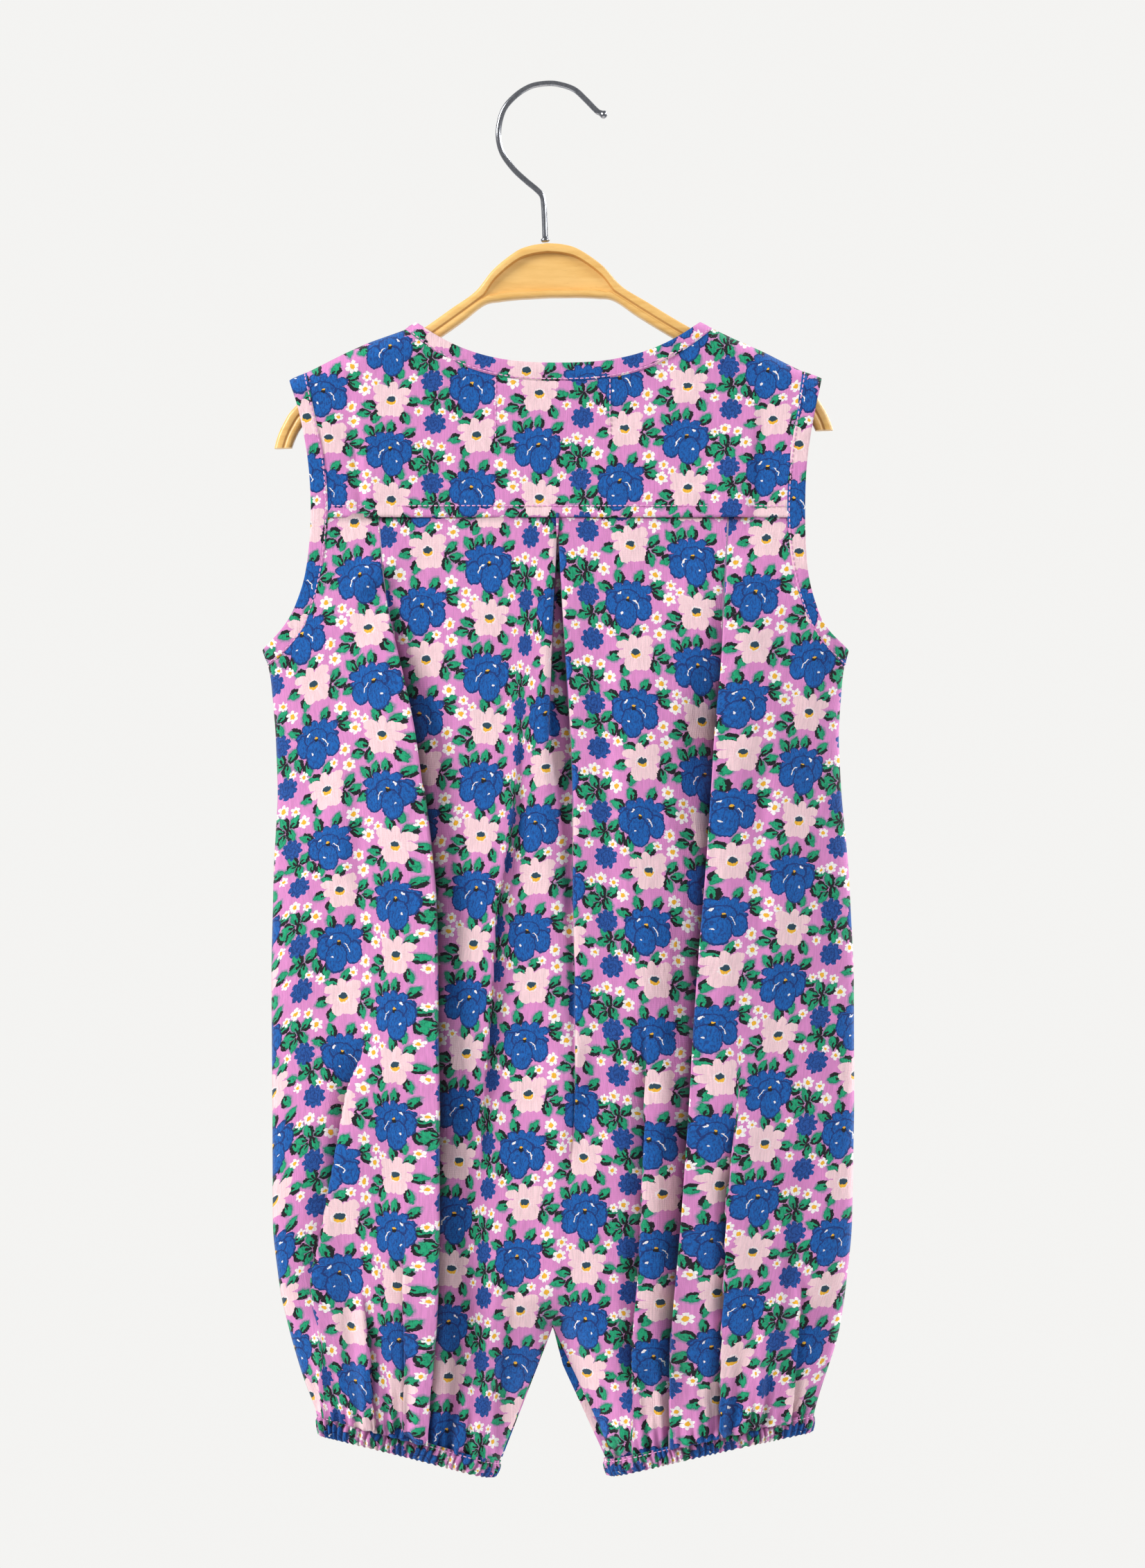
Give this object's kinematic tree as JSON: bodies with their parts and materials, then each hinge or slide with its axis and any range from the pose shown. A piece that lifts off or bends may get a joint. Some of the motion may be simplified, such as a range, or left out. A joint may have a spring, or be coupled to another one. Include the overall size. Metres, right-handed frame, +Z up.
{
  "type": "sleeveless bubble romper on wooden hanger",
  "caption": "Sleeveless floral cotton romper with back yoke, centre back pleat and gathered leg cuffs, on a small wooden hanger with a wire hook.",
  "frame": {"origin": "inner top of the wire hook, where a rod or thread holds it", "axes": "+Z up; the garment's back, which the picture shows, faces -Y and its front faces +Y; +X is to the right as seen in the picture"},
  "size_m": [0.2962, 0.0514, 0.7004],
  "materials": {
    "armhole_band_left": "printed plain-weave cotton",
    "armhole_band_right": "printed plain-weave cotton",
    "back_panel": "printed plain-weave cotton",
    "back_yoke": "printed plain-weave cotton",
    "crotch_placket": "printed plain-weave cotton",
    "front_panel": "printed plain-weave cotton",
    "front_placket": "printed plain-weave cotton",
    "front_yoke": "printed plain-weave cotton",
    "leg_cuff_left": "printed plain-weave cotton",
    "leg_cuff_right": "printed plain-weave cotton",
    "neck_band": "printed plain-weave cotton",
    "button": "pearly",
    "hanger_body": "clear satin lacquer on pale wood",
    "hanger_hook": "polished wire"
  },
  "bodies": {
    "root": {"armhole_band_left": "armhole_band_left", "armhole_band_right": "armhole_band_right", "back_panel": "back_panel", "back_yoke": "back_yoke", "button_1": "button", "button_2": "button", "button_3": "button", "button_4": "button", "crotch_placket": "crotch_placket", "front_panel": "front_panel", "front_placket": "front_placket", "front_yoke": "front_yoke", "hanger_body": "hanger_body", "hanger_hook": "hanger_hook", "leg_cuff_left": "leg_cuff_left", "leg_cuff_right": "leg_cuff_right", "neck_band": "neck_band"}
  },
  "joints": []
}
